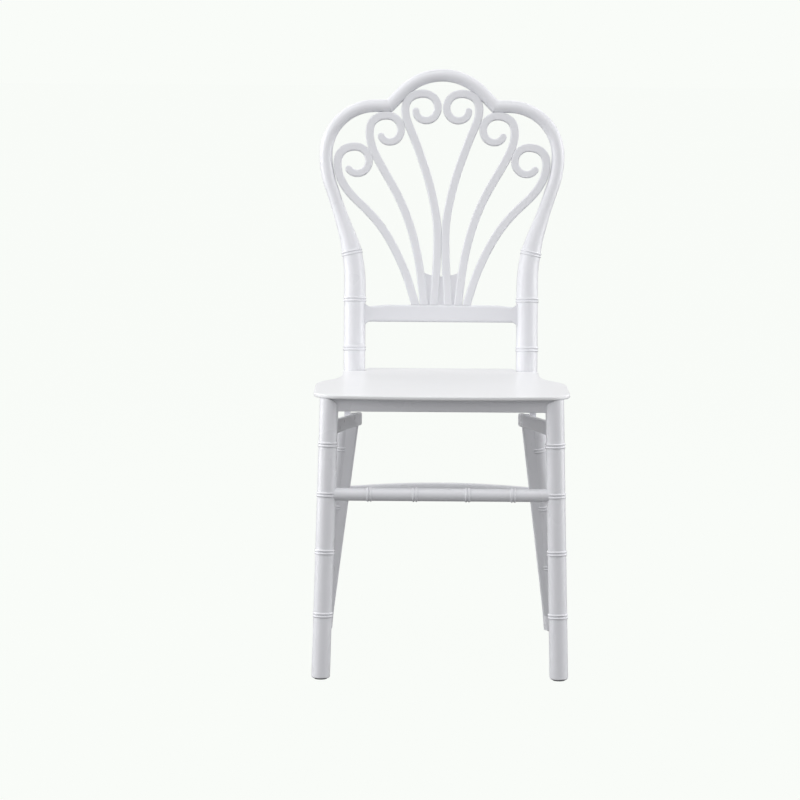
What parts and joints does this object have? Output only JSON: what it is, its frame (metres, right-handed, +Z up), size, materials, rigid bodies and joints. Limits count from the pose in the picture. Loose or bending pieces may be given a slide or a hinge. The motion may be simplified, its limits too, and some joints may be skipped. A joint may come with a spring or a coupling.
{
  "type": "chiavari chair",
  "caption": "Stackable banquet chair with turned round legs, a thin bowed seat, stretchers and a scalloped hoop back filled with a fan of scrolled strips.",
  "frame": {"origin": "centre of the bounding box on the floor, under the middle of the seat", "axes": "+Z up, -Y towards the front of the seat, +X to the right hand of a person looking at the chair's front"},
  "size_m": [0.4138, 0.4719, 0.9393],
  "materials": {
    "frame_plastic": "gloss white moulded",
    "seat_plastic": "semi-gloss white moulded",
    "glide_plastic": "matt dark grey",
    "steel": "zinc plated"
  },
  "bodies": {
    "root": {"seat_panel": "seat_plastic", "front_apron": "frame_plastic", "rear_apron": "frame_plastic", "side_apron_right": "frame_plastic", "side_apron_left": "frame_plastic", "front_leg_right": "frame_plastic", "front_leg_left": "frame_plastic", "rear_leg_right": "frame_plastic", "rear_leg_left": "frame_plastic", "back_post_right": "frame_plastic", "back_post_left": "frame_plastic", "back_hoop": "frame_plastic", "back_rail": "frame_plastic", "fan_web": "frame_plastic", "side_brace_right": "frame_plastic", "side_brace_left": "frame_plastic", "front_stretcher": "frame_plastic", "rear_stretcher": "frame_plastic", "hoop_joint_pins": "steel", "apron_bolts": "steel", "apron_barrel_nuts": "steel", "bolt_cover_caps": "frame_plastic", "rear_joint_bolts": "steel", "rear_joint_nuts": "steel", "seat_screws": "steel", "front_leg_cores": "steel", "rear_leg_cores": "steel", "foot_glide_front_right": "glide_plastic", "foot_glide_front_left": "glide_plastic", "foot_glide_rear_right": "glide_plastic", "foot_glide_rear_left": "glide_plastic", "scroll_inner_right": "frame_plastic", "scroll_inner_left": "frame_plastic", "scroll_middle_right": "frame_plastic", "scroll_middle_left": "frame_plastic", "scroll_outer_right": "frame_plastic", "scroll_outer_left": "frame_plastic"}
  },
  "joints": []
}
